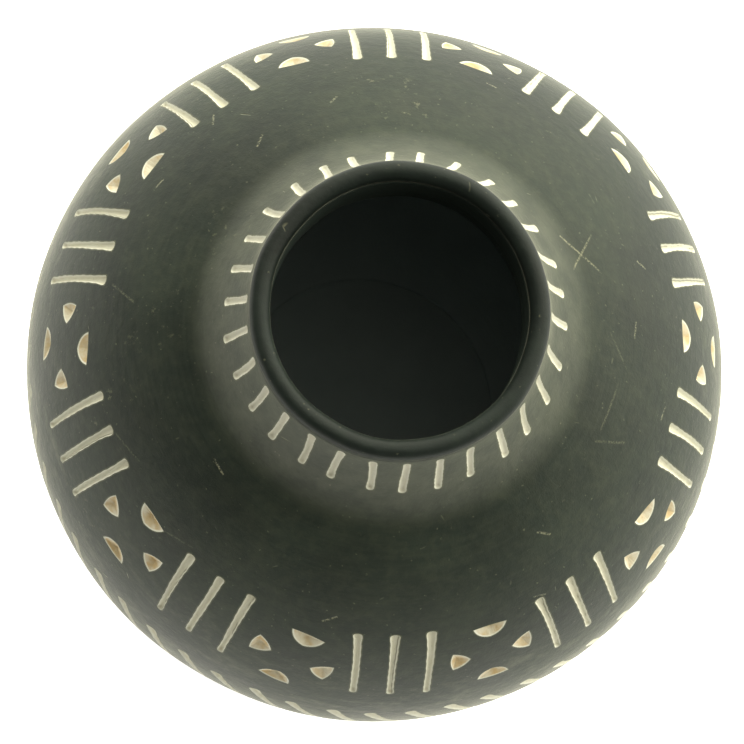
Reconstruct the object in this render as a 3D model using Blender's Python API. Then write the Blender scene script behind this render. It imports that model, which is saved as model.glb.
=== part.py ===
"""A globular clay pot with a short neck, built from luted pieces and carved through its dark slip.

Every piece is turned about the pot's own axis, +Z, and the pot stands on z = 0.
Units are metres. Azimuths are degrees anticlockwise from +X, seen from above.
"""

import math

import bmesh
import bpy
from mathutils import Vector

# Body: two half ellipsoids that meet at the equator.
BODY_RADIUS = 0.080
EQUATOR_HEIGHT = 0.066
UPPER_RISE = 0.072
LOWER_DROP = 0.068
WALL = 0.005
JOINT_GAP = 0.0003
SEGMENTS = 60
CREASE_ANGLE = 30.0

# Foot and floor.
FOOT_OUTER = 0.0345
FOOT_INNER = 0.0280
FOOT_ROUNDING = 0.0008
FLOOR_RADIUS = 0.0300
FLOOR_UNDERSIDE = 0.0030
FLOOR_TOP = 0.0090
FLOOR_FLARE = 0.0033

# Joints in the wall: each is a scarf, whose inner edge stands higher or lower than its outer edge.
BOWL_SEAM_LATITUDE = -12.0
BOWL_SEAM_RISE = 0.0022
NECK_BASE_RADIUS = 0.0415
NECK_SEAM_INNER_RADIUS = 0.0365
RIM_SEAM_HEIGHT = EQUATOR_HEIGHT + 0.0793

# Neck, throat and rolled lip.
LIP_OUTER = 0.0303
LIP_OUTER_HEIGHT = EQUATOR_HEIGHT + 0.0800
LIP_TOP_HEIGHT = EQUATOR_HEIGHT + 0.0821
MOUTH_RADIUS = 0.0261
THROAT_DEPTH = 0.0115
THROAT_FLARE = 0.0050
THROAT_LIFT = 0.0024
ROLL_STEPS = 8
NECK_BASE_PULL = (-0.0035, 0.0019)
NECK_TOP_PULL = (0.0016, -0.0078)

# Carving: latitudes are ellipse parameters in degrees, 0 at the equator.
CUT_DEPTH = 0.0008
CUT_LIFT = 0.0006
STROKE_WIDTH = 0.0019
STROKE_STEPS = 4
STROKE_END_FULLNESS = 0.55
BAND_GROUPS = 10
BAND_FIRST_AZIMUTH = 4.7
BAND_DRIFT = 1.2
BAND_DRIFT_AZIMUTH = 315.0
BAND_RIPPLE = 0.6
BAND_STROKE_STEP = 6.5
BAND_TOP_LATITUDE = 38.7
BAND_BOTTOM_LATITUDE = 21.2
MOTIF_LATITUDE = 29.0
BELT_STROKES = 56
BELT_TOP_LATITUDE = 11.5
BELT_BOTTOM_LATITUDE = -7.0
BELT_LEAN = 8.0
NECK_TICKS = 30
TICK_START_AZIMUTH = 8.5
TICK_LEAN = 1.8
TICK_SHARES = (0.40, 0.57, 0.74, 0.92)

# Chip cuts of one motif, in metres from its centre: (across, up) corners of the upper and right cuts.
UPPER_CHIP = ((-0.0038, 0.0098), (0.0038, 0.0098), (0.0015, 0.0060), (-0.0015, 0.0060))
SIDE_CHIP = ((0.0089, 0.0030), (0.0089, -0.0030), (0.0045, 0.0))


def clear_scene():
    for old in list(bpy.data.objects):
        bpy.data.objects.remove(old, do_unlink=True)


def make_material(name, colour, roughness):
    material = bpy.data.materials.new(name)
    material.use_nodes = True
    shader = material.node_tree.nodes["Principled BSDF"]
    shader.inputs["Base Color"].default_value = (*colour, 1.0)
    shader.inputs["Roughness"].default_value = roughness
    shader.inputs["Metallic"].default_value = 0.0
    material.diffuse_color = (*colour, 1.0)
    return material


def body_point(latitude, inset=0.0):
    """Radius and height of the body's wall at a latitude; inset moves it inwards."""
    angle = math.radians(latitude)
    rise = UPPER_RISE if latitude >= 0 else LOWER_DROP
    radius = (BODY_RADIUS - inset) * math.cos(angle)
    return radius, EQUATOR_HEIGHT + (rise - inset) * math.sin(angle)


def latitude_at(radius, inset=0.0):
    return math.degrees(math.acos(radius / (BODY_RADIUS - inset)))


def latitude_at_height(height, inset=0.0):
    rise = UPPER_RISE if height >= EQUATOR_HEIGHT else LOWER_DROP
    return math.degrees(math.asin((height - EQUATOR_HEIGHT) / (rise - inset)))


def body_arc(start, end, steps, inset=0.0):
    """Wall points from one latitude to another, both ends included."""
    return [body_point(start + (end - start) * i / steps, inset) for i in range(steps + 1)]


def bezier(p0, p1, p2, p3, steps):
    """Points of a cubic curve in the (radius, height) plane, both ends included."""
    points = []
    for i in range(steps + 1):
        t = i / steps
        weights = ((1 - t) ** 3, 3 * t * (1 - t) ** 2, 3 * t * t * (1 - t), t ** 3)
        points.append(tuple(sum(w * p[k] for w, p in zip(weights, (p0, p1, p2, p3))) for k in (0, 1)))
    return points


def finish_object(name, bm, material):
    bmesh.ops.recalc_face_normals(bm, faces=bm.faces)
    mesh = bpy.data.meshes.new(name)
    bm.to_mesh(mesh)
    bm.free()
    obj = bpy.data.objects.new(name, mesh)
    bpy.context.scene.collection.objects.link(obj)
    if material:
        mesh.materials.append(material)
        mesh.shade_smooth()
        mesh.set_sharp_from_angle(angle=math.radians(CREASE_ANGLE))
    return obj


def turned_solid(name, section, material, closed=True):
    """Spin a (radius, height) section about Z. An open section starts and ends on the axis."""
    bm = bmesh.new()
    verts = [bm.verts.new((radius, 0.0, height)) for radius, height in section]
    edges = [bm.edges.new(pair) for pair in zip(verts, verts[1:])]
    if closed:
        edges.append(bm.edges.new((verts[-1], verts[0])))
    bmesh.ops.spin(bm, geom=verts + edges, cent=(0, 0, 0), axis=(0, 0, 1), dvec=(0, 0, 0),
                   angle=math.tau, steps=SEGMENTS, use_merge=True, use_duplicate=False)
    bmesh.ops.remove_doubles(bm, verts=bm.verts, dist=1e-6)
    return finish_object(name, bm, material)


def floor_bevel():
    """Outer and inner ends of the bevel around the bowl's bottom opening."""
    outer_end = body_point(-latitude_at(FLOOR_RADIUS + JOINT_GAP))
    inner_end = body_point(-latitude_at(FLOOR_RADIUS + JOINT_GAP + FLOOR_FLARE, WALL), WALL)
    return outer_end, inner_end


def foot_ring(material):
    """The low coil that the pot stands on, fitted to the underside of the bowl and floor."""
    outer_top = body_point(-latitude_at(FOOT_OUTER))[1] - JOINT_GAP
    floor_edge = (FLOOR_RADIUS + JOINT_GAP, FLOOR_UNDERSIDE - JOINT_GAP)
    section = [
        (FOOT_INNER, FLOOR_UNDERSIDE - JOINT_GAP),
        (FOOT_INNER, FOOT_ROUNDING),
        (FOOT_INNER + FOOT_ROUNDING, 0.0),
        (FOOT_OUTER - 2 * FOOT_ROUNDING, 0.0),
        (FOOT_OUTER - FOOT_ROUNDING, FOOT_ROUNDING),
        (FOOT_OUTER, outer_top),
        floor_edge,
    ]
    return turned_solid("foot_ring", section, material)


def floor_disc(material):
    """The flat slab that closes the bottom, dropped in from above onto the bowl's bevel."""
    (bevel_radius, bevel_height), (far_radius, far_height) = floor_bevel()
    share = (FLOOR_TOP - bevel_height) / (far_height - bevel_height)
    top_radius = bevel_radius + (far_radius - bevel_radius) * share - JOINT_GAP
    section = [
        (0.0, FLOOR_UNDERSIDE),
        (FLOOR_RADIUS, FLOOR_UNDERSIDE),
        (top_radius, FLOOR_TOP),
        (0.0, FLOOR_TOP),
    ]
    return turned_solid("floor_disc", section, material, closed=False)


def lower_bowl(material):
    """The pressed bowl between the floor and the seam below the belly."""
    (opening, _), (inner_opening, _) = floor_bevel()
    outer = body_arc(-latitude_at(opening), BOWL_SEAM_LATITUDE, 7)
    seam_inner = latitude_at_height(outer[-1][1] + BOWL_SEAM_RISE, WALL)
    inner = body_arc(seam_inner, -latitude_at(inner_opening, WALL), 6, WALL)
    return turned_solid("lower_bowl", outer + inner, material)


def shoulder_wall(material):
    """The upper bowl, from the seam below the belly to the base of the neck."""
    seam_height = body_point(BOWL_SEAM_LATITUDE)[1] + JOINT_GAP
    outer = body_arc(latitude_at_height(seam_height), latitude_at(NECK_BASE_RADIUS), 11)
    inner_top = latitude_at(NECK_SEAM_INNER_RADIUS, WALL)
    inner_bottom = latitude_at_height(seam_height + BOWL_SEAM_RISE, WALL)
    inner = body_arc(inner_top, inner_bottom, 7, WALL)
    return turned_solid("shoulder_wall", outer + inner, material)


def neck_curve(steps):
    """The collar's outer flare, from the shoulder up to the lip's outer edge."""
    base = (NECK_BASE_RADIUS, body_point(latitude_at(NECK_BASE_RADIUS))[1] + JOINT_GAP)
    top = (LIP_OUTER, LIP_OUTER_HEIGHT)
    base_pull = (base[0] + NECK_BASE_PULL[0], base[1] + NECK_BASE_PULL[1])
    top_pull = (top[0] + NECK_TOP_PULL[0], top[1] + NECK_TOP_PULL[1])
    return bezier(base, base_pull, top_pull, top, steps)


def neck_collar(material):
    """The short flared collar that carries the lip and forms the throat inside."""
    outer = [point for point in neck_curve(8) if point[1] < RIM_SEAM_HEIGHT - JOINT_GAP]
    seam = RIM_SEAM_HEIGHT - JOINT_GAP
    throat_bottom = RIM_SEAM_HEIGHT - THROAT_DEPTH
    inner_base_height = body_point(latitude_at(NECK_SEAM_INNER_RADIUS, WALL), WALL)[1] + JOINT_GAP
    inner_base = (NECK_SEAM_INNER_RADIUS, inner_base_height)
    throat = bezier((MOUTH_RADIUS, throat_bottom), (MOUTH_RADIUS, throat_bottom - THROAT_FLARE),
                    (NECK_SEAM_INNER_RADIUS - THROAT_FLARE, inner_base_height + THROAT_LIFT), inner_base, 4)
    section = outer + [(LIP_OUTER, seam), (MOUTH_RADIUS, seam)] + throat
    return turned_solid("neck_collar", section, material)


def rim_coil(material):
    """The rolled lip: a thin coil pressed onto the collar's flat edge."""
    middle = (LIP_OUTER + MOUTH_RADIUS) / 2
    half_width = (LIP_OUTER - MOUTH_RADIUS) / 2
    roll = []
    for i in range(ROLL_STEPS + 1):
        angle = math.pi * i / ROLL_STEPS
        height = LIP_OUTER_HEIGHT + (LIP_TOP_HEIGHT - LIP_OUTER_HEIGHT) * math.sin(angle)
        roll.append((middle + half_width * math.cos(angle), height))
    section = roll + [(MOUTH_RADIUS, RIM_SEAM_HEIGHT), (LIP_OUTER, RIM_SEAM_HEIGHT)]
    return turned_solid("rim_coil", section, material)


def surface_frame(azimuth, radius, height, slope_radius, slope_height):
    """Point, upward tangent, sideways tangent and outward normal on a turned surface."""
    turn = math.radians(azimuth)
    outward = Vector((math.cos(turn), math.sin(turn), 0.0))
    across = Vector((-math.sin(turn), math.cos(turn), 0.0))
    up = (outward * slope_radius + Vector((0.0, 0.0, slope_height))).normalized()
    point = outward * radius + Vector((0.0, 0.0, height))
    return point, up, across, across.cross(up)


def body_frame(azimuth, latitude):
    radius, height = body_point(latitude)
    angle = math.radians(latitude)
    rise = UPPER_RISE if latitude >= 0 else LOWER_DROP
    slope = (-BODY_RADIUS * math.sin(angle), rise * math.cos(angle))
    return surface_frame(azimuth, radius, height, *slope)


def neck_frame(azimuth, share):
    """Frame on the collar's flank; share runs from 0 at the shoulder to 1 at the lip."""
    steps = 40
    curve = neck_curve(steps)
    index = min(int(share * steps), steps - 1)
    (radius, height), (next_radius, next_height) = curve[index], curve[index + 1]
    return surface_frame(azimuth, radius, height, next_radius - radius, next_height - height)


def add_groove(bm, frames):
    """A V-section cutter swept along surface frames, shallow and narrow at both ends."""
    rings = []
    last = len(frames) - 1
    for i, (point, _, _, normal) in enumerate(frames):
        ahead = frames[min(i + 1, last)][0] - frames[max(i - 1, 0)][0]
        side = normal.cross(ahead).normalized()
        fullness = STROKE_END_FULLNESS if i in (0, last) else 1.0
        depth = CUT_DEPTH * fullness
        half_width = STROKE_WIDTH / 2 * fullness * (1 + CUT_LIFT / depth)
        top = point + normal * CUT_LIFT
        corners = (top + side * half_width, top - side * half_width, point - normal * depth)
        rings.append([bm.verts.new(corner) for corner in corners])
    for ring, following in zip(rings, rings[1:]):
        for k in range(3):
            bm.faces.new((ring[k], ring[(k + 1) % 3], following[(k + 1) % 3], following[k]))
    bm.faces.new(rings[0])
    bm.faces.new(rings[-1])


def add_chip(bm, frame, corners):
    """A pyramid cutter: its outline on the surface is given in metres across and up."""
    point, up, across, normal = frame
    centre_across = sum(corner[0] for corner in corners) / len(corners)
    centre_up = sum(corner[1] for corner in corners) / len(corners)
    spread = 1 + CUT_LIFT / CUT_DEPTH
    outline = []
    for corner_across, corner_up in corners:
        side = centre_across + (corner_across - centre_across) * spread
        rise = centre_up + (corner_up - centre_up) * spread
        sag = (side ** 2 + rise ** 2) / (2 * BODY_RADIUS)
        outline.append(bm.verts.new(point + across * side + up * rise + normal * (CUT_LIFT - sag)))
    centre_sag = (centre_across ** 2 + centre_up ** 2) / (2 * BODY_RADIUS)
    deep = bm.verts.new(point + across * centre_across + up * centre_up - normal * (CUT_DEPTH + centre_sag))
    for here, there in zip(outline, outline[1:] + outline[:1]):
        bm.faces.new((here, there, deep))
    bm.faces.new(outline)


def group_azimuth(count):
    """Where a group or a half-way motif sits: an even pitch, and the slow drift of spacing by hand."""
    even = 360 * count / BAND_GROUPS
    drift = BAND_DRIFT * math.cos(math.radians(even - BAND_DRIFT_AZIMUTH))
    ripple = BAND_RIPPLE * math.sin(math.radians(2 * even))
    return BAND_FIRST_AZIMUTH + even + drift + ripple


def band_cutters(bm):
    """Ten groups of three upright strokes around the shoulder."""
    for group in range(BAND_GROUPS):
        for step in (-BAND_STROKE_STEP, 0, BAND_STROKE_STEP):
            frames = []
            for i in range(STROKE_STEPS + 1):
                share = i / STROKE_STEPS
                latitude = BAND_TOP_LATITUDE + (BAND_BOTTOM_LATITUDE - BAND_TOP_LATITUDE) * share
                frames.append(body_frame(group_azimuth(group) + step, latitude))
            add_groove(bm, frames)


def motif_cutters(bm):
    """Four chips around a cross between each two groups of strokes."""
    for group in range(BAND_GROUPS):
        frame = body_frame(group_azimuth(group + 0.5), MOTIF_LATITUDE)
        for sign in (1, -1):
            add_chip(bm, frame, [(sign * a, sign * u) for a, u in UPPER_CHIP])
            add_chip(bm, frame, [(sign * a, sign * u) for a, u in SIDE_CHIP])


def belt_cutters(bm):
    """A row of leaning strokes around the belly."""
    for k in range(BELT_STROKES):
        start = 360 * k / BELT_STROKES
        frames = []
        for i in range(STROKE_STEPS + 1):
            share = i / STROKE_STEPS
            latitude = BELT_TOP_LATITUDE + (BELT_BOTTOM_LATITUDE - BELT_TOP_LATITUDE) * share
            frames.append(body_frame(start + BELT_LEAN * share, latitude))
        add_groove(bm, frames)


def tick_cutters(bm):
    """Short strokes up the flank of the neck."""
    for k in range(NECK_TICKS):
        azimuth = TICK_START_AZIMUTH + 360 * k / NECK_TICKS
        frames = [neck_frame(azimuth + TICK_LEAN * share, share) for share in TICK_SHARES]
        add_groove(bm, frames)


def carve(target, name, *cutter_makers):
    """Cut marks into a piece with one joined cutter, kept as a hidden guide."""
    bm = bmesh.new()
    for make in cutter_makers:
        make(bm)
    cutter = finish_object(name, bm, None)
    cutter.hide_render = True
    cutter.display_type = "WIRE"
    modifier = target.modifiers.new(name, "BOOLEAN")
    modifier.operation = "DIFFERENCE"
    modifier.solver = "EXACT"
    modifier.object = cutter


def build():
    clear_scene()
    slip = make_material("dark_slip_clay", (0.045, 0.052, 0.045), 0.55)
    lip_slip = make_material("burnished_lip_clay", (0.035, 0.042, 0.042), 0.42)
    floor_clay = make_material("floor_clay", (0.060, 0.058, 0.050), 0.70)
    foot_clay = make_material("foot_clay", (0.055, 0.056, 0.048), 0.65)
    foot_ring(foot_clay)
    floor_disc(floor_clay)
    lower_bowl(slip)
    shoulder = shoulder_wall(slip)
    collar = neck_collar(slip)
    rim_coil(lip_slip)
    carve(shoulder, "shoulder_marks", band_cutters, motif_cutters, belt_cutters)
    carve(collar, "neck_marks", tick_cutters)


build()
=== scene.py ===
"""Looks of the carved dark clay pot: its wall, carved marks, clay and slip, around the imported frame."""

import math

import bmesh
import bpy
import numpy as np
from mathutils import Matrix, Vector
from mathutils.geometry import delaunay_2d_cdt


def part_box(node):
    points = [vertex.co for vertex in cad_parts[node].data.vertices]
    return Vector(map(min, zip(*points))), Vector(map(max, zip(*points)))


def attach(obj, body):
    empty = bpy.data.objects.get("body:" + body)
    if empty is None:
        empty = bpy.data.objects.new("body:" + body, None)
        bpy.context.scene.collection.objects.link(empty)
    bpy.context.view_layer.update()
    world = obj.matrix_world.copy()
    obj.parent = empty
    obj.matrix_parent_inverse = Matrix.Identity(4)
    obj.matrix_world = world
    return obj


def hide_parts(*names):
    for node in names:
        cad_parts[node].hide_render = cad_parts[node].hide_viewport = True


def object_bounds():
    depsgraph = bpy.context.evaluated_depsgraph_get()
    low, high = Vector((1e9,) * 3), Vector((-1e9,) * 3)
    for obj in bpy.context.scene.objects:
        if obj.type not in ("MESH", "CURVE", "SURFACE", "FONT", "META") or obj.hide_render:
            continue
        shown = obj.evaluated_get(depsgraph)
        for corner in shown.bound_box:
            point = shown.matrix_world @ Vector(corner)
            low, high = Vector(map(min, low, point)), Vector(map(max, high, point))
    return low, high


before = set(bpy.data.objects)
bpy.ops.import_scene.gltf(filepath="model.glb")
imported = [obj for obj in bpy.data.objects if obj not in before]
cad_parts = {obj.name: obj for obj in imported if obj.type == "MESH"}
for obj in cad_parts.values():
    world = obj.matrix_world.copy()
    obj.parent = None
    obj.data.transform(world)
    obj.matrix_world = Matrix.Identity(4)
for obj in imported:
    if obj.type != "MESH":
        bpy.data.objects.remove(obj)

CAD_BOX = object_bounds()

# The pot's own dimensions, in metres and degrees, as in the frame's solids.
BODY_RADIUS = round((CAD_BOX[1][0] - CAD_BOX[0][0]) / 2, 4)
EQUATOR_HEIGHT = 0.066
UPPER_RISE = 0.072
LOWER_DROP = 0.068
WALL = 0.005
BOWL_SEAM_LATITUDE = -12.0
BOWL_SEAM_RISE = 0.0022
FLOOR_OPENING = 0.0303
FLOOR_FLARE = 0.0033
FOOT_INNER = 0.0280
FOOT_ROUNDING = 0.0008
NECK_BASE_RADIUS = round(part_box("neck_collar")[1][0], 4)
NECK_SEAM_INNER_RADIUS = 0.0365
NECK_BASE_PULL = (-0.0035, 0.0019)
NECK_TOP_PULL = (0.0016, -0.0078)
LIP_OUTER = round(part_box("rim_coil")[1][0], 4)
LIP_SEAM_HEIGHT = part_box("rim_coil")[0][2]
LIP_TOP_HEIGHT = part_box("rim_coil")[1][2]
LIP_BAND = 0.0007
MOUTH_RADIUS = 0.0261
THROAT_DEPTH = 0.0115
THROAT_FLARE = 0.0050

# Slow swellings of the hand-shaped wall: size in metres, waves round the pot, phase, twist with height.
SWELLS = ((0.00014, 2, 0.7, 22), (0.00011, 3, 2.1, -37), (0.00006, 7, 4.0, 90), (0.00004, 11, 1.3, -150))

# Mesh density: lengths in metres, and points along each stretch of outline.
RING_COUNT = 400
SKIN_SPACING = 0.0013
NECK_SPACING = 0.0008
MARK_SPACING = 0.00055
SECTION_SPACING = 0.0015
FLOOR_SPACING = 0.004
GRID_SHAKE = 0.12
MARK_CLEARANCE = 0.6
TURN_MARGIN = 20.0
CREASE_ANGLE = math.radians(30)
BODY_STEPS, NECK_STEPS = 1500, 400
INNER_WALL_STEPS, BOWL_STEPS = 50, 60
THROAT_STEPS, LIP_STEPS, FOOT_STEPS, CAP_STEPS = 16, 24, 6, 8

# Strokes, in metres: the share of the half width that an inner level steps in by, and how deep it lies.
STROKE_HALF_WIDTH = 0.00082
STROKE_TAPER = 0.12
STROKE_DEPTH = 0.00070
STROKE_BEND = 0.00012
STROKE_LEVELS = ((0.30, 0.62), (0.66, 1.0))
CAP_SHARE = 1.15
CAP_SQUARENESS = 0.9
HALO_WIDTH = 0.00045

# Chips, in metres: corners as (across, up) from the motif's middle, and how far each side bows out.
UPPER_CHIP = ((-0.0036, 0.0097), (0.0, 0.0062), (0.0036, 0.0097))
UPPER_BULGES = (0.0008, 0.0008, 0.0003)
SIDE_CHIP = ((0.0048, 0.0), (0.0087, -0.0028), (0.0087, 0.0028))
SIDE_BULGES = (0.0005, 0.0005, 0.0005)
CHIP_DEPTH = 0.0011
CHIP_LEVELS = (1.0, 0.87, 0.5, 0.12)
CORNER_SHAKE = 0.00025
DEEP_SHAKE = 0.0003

# The shoulder's band of strokes and motifs, in degrees.
BAND_GROUPS = 10
BAND_FIRST_AZIMUTH = 4.7
BAND_DRIFT = 1.2
BAND_DRIFT_AZIMUTH = 315.0
BAND_RIPPLE = 0.6
BAND_TOP_STEP = 7.0
BAND_FOOT_STEP = 6.1
BAND_TOP_LATITUDE = 38.7
BAND_FOOT_LATITUDE = 21.2
BAND_TOP_SHAKE = 0.3
BAND_FOOT_SHAKE = 0.4
BAND_TILT = 1.2
BAND_TILT_AZIMUTH = 190.0
MOTIF_LATITUDE = 29.1
MOTIF_LIFTS = (0.9, -0.9)
MOTIF_TURNS = (3.0, 12.0)
MOTIF_TURN_SHAKE = 1.5

# The belly's belt, in degrees and metres.
BELT_STROKES = 56
BELT_HALF_WIDTH = 0.00105
BELT_PHASE = 1.3
BELT_PHASE_SHAKE = 0.3
BELT_TOP_LATITUDE = 11.8
BELT_TOP_SHAKE = 0.5
BELT_FOOT_LATITUDE = -7.0
BELT_FOOT_SHAKE = 0.8
BELT_LEAN = 8.0

# The neck's ticks, in degrees and metres.
NECK_TICKS = 30
TICK_PHASE = 7.6
TICK_DRIFT = 2.2
TICK_DRIFT_AZIMUTH = 50.0
TICK_LEAN = -1.1
TICK_LEAN_SWING = -1.8
TICK_LEAN_SHAKE = 1.5
TICK_HALF_WIDTH = 0.00084
TICK_DEPTH = 0.0006
TICK_TOP_GAP = 0.0010
TICK_FOOT_HEIGHT = 0.0684
TICK_FOOT_SHAKE = 0.0004

# What each point of a carved skin knows about its mark, and the order of a piece's materials.
SKIN_FACTS = ("halo", "depth", "across", "sideways", "run", "seed", "chip", "pale")
OUTSIDE, CUT, INSIDE = 0, 1, 2

# Colours.


def colour(red, green, blue):
    """A linear colour from sRGB numbers out of 255."""
    linear = []
    for value in (red, green, blue):
        share = value / 255
        linear.append(share / 12.92 if share <= 0.04045 else ((share + 0.055) / 1.055) ** 2.4)
    return (*linear, 1.0)


SLIP_DARK = colour(22, 30, 26)
SLIP_LIGHT = colour(38, 47, 40)
# Dusty slip; the same colour paints a shadow inside one wall of the long strokes.
SLIP_DUST_AND_CUT_SHADOW = colour(64, 68, 54)
LIP_DARK = colour(17, 22, 21)
LIP_LIGHT = colour(31, 38, 36)
THROAT_SLIP = colour(48, 56, 53)
INNER_DARK = colour(138, 148, 150)
INNER_LIGHT = colour(158, 166, 168)
SLIP_RUN_HEIGHT = 0.124
PALE_SPECK = colour(170, 168, 140)
CUT_HALO = colour(112, 112, 90)
# Cut clay: the cream at the rim is a painted highlight, and the tan and pale clay deeper in carry painted
# shade.
CREAM_CLAY_RIM_HIGHLIGHT = colour(210, 209, 200)
TAN_CLAY_DEEP_SHADE = colour(198, 195, 178)
PALE_CLAY_DEEP_SHADE = colour(198, 195, 181)
WARM_CLAY = colour(182, 156, 112)
# The paler tone painted round the flank of the neck.
NECK_PALE_TONE = colour(82, 85, 73)
BELLY_DUST = colour(92, 95, 80)
NECK_PALE_HEIGHT = 0.118

# Scratches, in degrees and metres: a star beside the neck, short nicks and long faint grazes.
STAR_AZIMUTH, STAR_LATITUDE = 44.0, 58.0
STAR_SLANTS = (35.0, 125.0)
STAR_REACH = 0.0060
NICKS, NICK_REACH = 12, 0.0015
GRAZES, GRAZE_REACH = 6, 0.0050
NICK_LATITUDES = (38.0, 56.0)
KNOCK_WIDTH = 0.00036

# Texture scales, in cells per metre, and shading strengths.
CLOUD_SCALE, MOTTLE_SCALE, GRAIN_SCALE, SPECK_SCALE = 38.0, 420.0, 2600.0, 520.0
BLOTCH_SCALE, SMEAR_SCALE, SCUFF_SCALE, DUST_SCALE = 120.0, 75.0, 430.0, 150.0
CRUMB_SCALE, PATCH_SCALE = 1500.0, 260.0
NECK_PALE_OUTER, NECK_PALE_INNER = 0.0428, 0.0366
SMEAR_TOP, SMEAR_FULL = 0.106, 0.088
SPECK_SHARE, SCRATCH_SHARE, GRAZE_SHARE, NICK_SHARE, HALO_SHARE = 0.15, 0.22, 0.14, 0.42, 0.7
DUST_SHEEN = 0.38
SHEEN_ROUGHNESS = 0.22

# Studio, in metres, degrees and watts.
FLOOR_GLOW = 0.88
LIGHT_TINT = (1.0, 0.985, 0.80, 1.0)
SKY_AZIMUTH, SKY_ELEVATION = 76.0, 12.0
SKY_BRIGHT, SKY_HORIZON, SKY_OVERHEAD = 3.9, 0.50, 0.10
SKY_LOBE_EDGE, SKY_BAND_TOP = -0.2, 0.5
KEY_AZIMUTH, KEY_ELEVATION = 75.0, 14.0
KEY_DISTANCE, KEY_SIZE, KEY_POWER = 1.2, (1.8, 0.6), 3.4
FLOOR_SIZE = 8.0
PAPER_DARK, PAPER_LIGHT = (0.86, 0.86, 0.86, 1.0), (0.90, 0.90, 0.90, 1.0)
WHITE = (1.0, 1.0, 1.0, 1.0)
CAMERA_ELEVATION = 80.2
CAMERA_ROLL = 22.44
CAMERA_DISTANCE = 0.560
CAMERA_LENS = 116.8
CAMERA_SHIFT = (-0.0033, 0.0011)

rng = np.random.default_rng(7)


def bezier(p0, p1, p2, p3, steps):
    """Points along a cubic curve from p0 to p3."""
    t = np.linspace(0.0, 1.0, steps)[:, None]
    p0, p1, p2, p3 = (np.array(p) for p in (p0, p1, p2, p3))
    return (1 - t) ** 3 * p0 + 3 * t * (1 - t) ** 2 * p1 + 3 * t * t * (1 - t) * p2 + t ** 3 * p3


def body_points(latitudes, inset=0.0):
    """(radius, height) rows of the body's wall at the given latitudes."""
    angle = np.radians(latitudes)
    rise = np.where(angle >= 0, UPPER_RISE, LOWER_DROP) - inset
    return np.stack([(BODY_RADIUS - inset) * np.cos(angle), EQUATOR_HEIGHT + rise * np.sin(angle)], axis=1)


def latitude_at(radius, inset=0.0):
    """The upper body's latitude where its wall has this radius."""
    return math.degrees(math.acos(radius / (BODY_RADIUS - inset)))


def latitude_at_height(height, inset=0.0):
    """The body's latitude at this height."""
    rise = UPPER_RISE if height >= EQUATOR_HEIGHT else LOWER_DROP
    return math.degrees(math.asin((height - EQUATOR_HEIGHT) / (rise - inset)))


class Profile:
    """An outline in the (radius, height) plane, read by the distance along it from its start."""

    def __init__(self, points):
        steps = np.hypot(*np.diff(points, axis=0).T)
        self.length = np.concatenate([[0.0], np.cumsum(steps)])
        self.points = points
        middle = (points[1:, 0] + points[:-1, 0]) / 2
        self.rise = np.concatenate([[0.0], np.cumsum(steps / middle)])
        tangent = np.gradient(points, self.length, axis=0)
        self.tangent = tangent / np.linalg.norm(tangent, axis=1)[:, None]

    def radius(self, s):
        return np.interp(s, self.length, self.points[:, 0])

    def height(self, s):
        return np.interp(s, self.length, self.points[:, 1])

    def normal(self, s):
        radial = np.interp(s, self.length, self.tangent[:, 1])
        upward = -np.interp(s, self.length, self.tangent[:, 0])
        return radial, upward

    def mercator(self, s):
        """Distance along the outline over radius, which keeps small shapes true beside the azimuth."""
        return np.interp(s, self.length, self.rise)

    def at_height(self, height):
        return float(np.interp(height, self.points[:, 1], self.length))


def outer_profile():
    """The whole outer wall, from the bowl's bottom opening to the seam under the lip."""
    body = body_points(np.linspace(-latitude_at(FLOOR_OPENING), latitude_at(NECK_BASE_RADIUS), BODY_STEPS))
    base = body[-1]
    top = np.array([LIP_OUTER, LIP_SEAM_HEIGHT + LIP_BAND])
    neck = bezier(base, base + NECK_BASE_PULL, top + NECK_TOP_PULL, top, NECK_STEPS)
    return Profile(np.vstack([body, neck[1:]]))


OUTER = outer_profile()
BOWL_SEAM = OUTER.at_height(float(body_points(np.array([BOWL_SEAM_LATITUDE]))[0, 1]))
NECK_SEAM = OUTER.at_height(float(body_points(np.array([latitude_at(NECK_BASE_RADIUS)]))[0, 1]))
LIP_SEAM = OUTER.at_height(LIP_SEAM_HEIGHT)


def along_at_latitude(latitude):
    """The distance along the outer wall to a latitude of the body."""
    return OUTER.at_height(float(body_points(np.array([latitude]))[0, 1]))


def unevenness(azimuth, height):
    """How far the hand-shaped wall stands off a true turned form, in metres."""
    turn = np.radians(azimuth)
    return sum(size * np.sin(waves * turn + phase + twist * height) for size, waves, phase, twist in SWELLS)


def turned_points(azimuth, radius, height, uneven=1.0):
    """World points at azimuths in degrees, with the wall's unevenness added to the radius."""
    turn = np.radians(azimuth)
    radius = radius + uneven * unevenness(azimuth, height)
    return np.stack(np.broadcast_arrays(radius * np.cos(turn), radius * np.sin(turn), height), axis=-1)


def skin_points(azimuth, along, lift):
    """World points on the outer wall, lifted along its normal."""
    radial, upward = OUTER.normal(along)
    height = OUTER.height(along)
    points = turned_points(azimuth, OUTER.radius(along) + radial * lift, height)
    points[:, 2] += upward * lift
    return points


# Marks


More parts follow.
